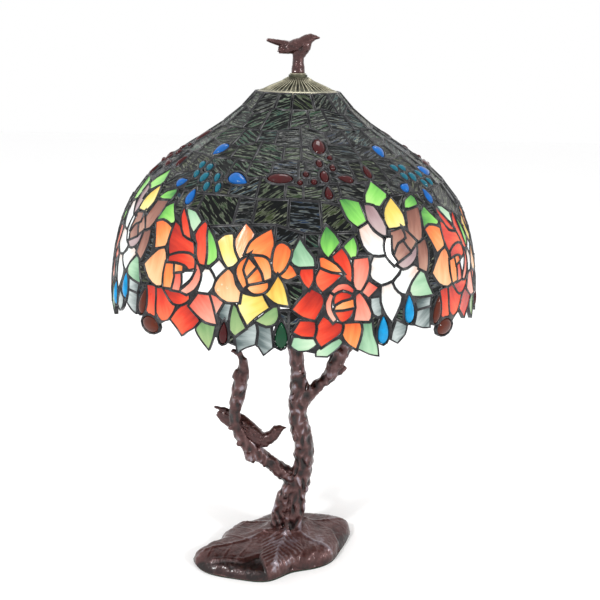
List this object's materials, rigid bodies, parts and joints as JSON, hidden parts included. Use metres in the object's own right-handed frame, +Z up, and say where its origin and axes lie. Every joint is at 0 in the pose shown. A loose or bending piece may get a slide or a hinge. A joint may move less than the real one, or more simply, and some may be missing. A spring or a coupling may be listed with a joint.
{
  "type": "leaded-glass table lamp",
  "caption": "Table lamp with a bell-shaped leaded-glass shade of flowers and cast jewels, on a tree-trunk base with branches, a leafy foot and a perched bird.",
  "frame": {"origin": "on the shade's axis, on the surface the foot's felt pad stands on", "axes": "+Z up along the support rod, -Y is the front, +X is the lamp's right side seen from the front"},
  "size_m": [0.516, 0.516, 0.7643],
  "materials": {
    "glass_background": "rippled, near-black green and blue tints",
    "jewels_amber": "cast, glossy",
    "jewels_blue": "cast, glossy",
    "jewels_cyan": "cast, glossy",
    "jewels_green": "cast, glossy",
    "jewels_red": "cast, glossy",
    "jewels_teal": "cast, glossy",
    "leaves_green": "streaky opalescent",
    "leaves_mint": "streaky opalescent",
    "leaves_olive": "streaky opalescent",
    "petals_brown": "streaky opalescent",
    "petals_lilac": "streaky opalescent",
    "petals_orange": "streaky opalescent",
    "petals_peach": "streaky opalescent",
    "petals_pink": "streaky opalescent",
    "petals_red": "streaky opalescent",
    "petals_white": "streaky opalescent",
    "petals_yellow": "streaky opalescent",
    "ripple_border": "rippled",
    "solder": "darkened solder",
    "bronze_cast": "reddish-brown patina, satin",
    "spun_cap": "aged, ribbed",
    "ring_metal": "aged",
    "zinc_steel": "plated",
    "hardware_brass": "satin",
    "insulator": "moulded",
    "key_plastic": "moulded",
    "bulb_screw": "satin",
    "bulb_envelope": "frosted",
    "felt": "felt",
    "plate_steel": "matt",
    "bushing": "matt"
  },
  "bodies": {
    "base": {"foot_casting": "bronze_cast", "felt_pad": "felt", "cover_plate": "plate_steel", "cord_bushing": "bushing", "foot_nipple": "zinc_steel", "foot_washer": "zinc_steel", "foot_nut": "zinc_steel", "trunk_casting": "bronze_cast", "left_branch": "bronze_cast", "right_branch": "bronze_cast", "perched_bird": "bronze_cast", "support_rod": "zinc_steel", "trunk_lock_nut": "zinc_steel", "seat_nut": "zinc_steel", "seat_washer": "zinc_steel", "cluster_body": "hardware_brass", "cluster_nuts": "zinc_steel", "socket_arms": "hardware_brass", "socket_shells": "hardware_brass", "socket_liners": "insulator", "socket_cap_1": "hardware_brass", "socket_cap_2": "hardware_brass", "socket_cap_3": "hardware_brass"},
    "shade": {"glass_background": "glass_background", "jewels_amber": "jewels_amber", "jewels_blue": "jewels_blue", "jewels_cyan": "jewels_cyan", "jewels_green": "jewels_green", "jewels_red": "jewels_red", "jewels_teal": "jewels_teal", "leaves_green": "leaves_green", "leaves_mint": "leaves_mint", "leaves_olive": "leaves_olive", "petals_brown": "petals_brown", "petals_lilac": "petals_lilac", "petals_orange": "petals_orange", "petals_peach": "petals_peach", "petals_pink": "petals_pink", "petals_red": "petals_red", "petals_white": "petals_white", "petals_yellow": "petals_yellow", "ripple_border": "ripple_border", "seams_upper": "solder", "seams_lower": "solder", "aperture_ring": "ring_metal", "shade_spider": "hardware_brass", "heat_cap": "spun_cap", "finial_washer": "ring_metal"},
    "finial": {"finial_bird": "bronze_cast"},
    "key_1": {"switch_key_1": "key_plastic"},
    "bulb_1": {"bulb_screw_1": "bulb_screw", "bulb_glass_1": "bulb_envelope"},
    "key_2": {"switch_key_2": "key_plastic"},
    "bulb_2": {"bulb_screw_2": "bulb_screw", "bulb_glass_2": "bulb_envelope"},
    "key_3": {"switch_key_3": "key_plastic"},
    "bulb_3": {"bulb_screw_3": "bulb_screw", "bulb_glass_3": "bulb_envelope"}
  },
  "joints": [
    {"name": "shade_lift", "type": "slide", "parent": "base", "child": "shade", "axis": [0, 0, 1], "range_m": [0, 0.15]},
    {"name": "finial_turn", "type": "hinge", "parent": "shade", "child": "finial", "pos_m": [0, 0, 0.716], "axis": [0, 0, 1], "continuous": true},
    {"name": "key_turn_1", "type": "hinge", "parent": "base", "child": "key_1", "pos_m": [0.01921, -0.03327, 0.48798], "axis": [0.866, 0.5, 0], "continuous": true},
    {"name": "bulb_turn_1", "type": "hinge", "parent": "base", "child": "bulb_1", "pos_m": [0, 0, 0.474], "axis": [0.4698, -0.8138, 0.342], "continuous": true},
    {"name": "key_turn_2", "type": "hinge", "parent": "base", "child": "key_2", "pos_m": [0.01921, 0.03327, 0.48798], "axis": [-0.866, 0.5, 0], "continuous": true},
    {"name": "bulb_turn_2", "type": "hinge", "parent": "base", "child": "bulb_2", "pos_m": [0, 0, 0.474], "axis": [0.4698, 0.8138, 0.342], "continuous": true},
    {"name": "key_turn_3", "type": "hinge", "parent": "base", "child": "key_3", "pos_m": [-0.03841, 0, 0.48798], "axis": [0, -1, 0], "continuous": true},
    {"name": "bulb_turn_3", "type": "hinge", "parent": "base", "child": "bulb_3", "pos_m": [0, 0, 0.474], "axis": [-0.9397, 0, 0.342], "continuous": true}
  ]
}
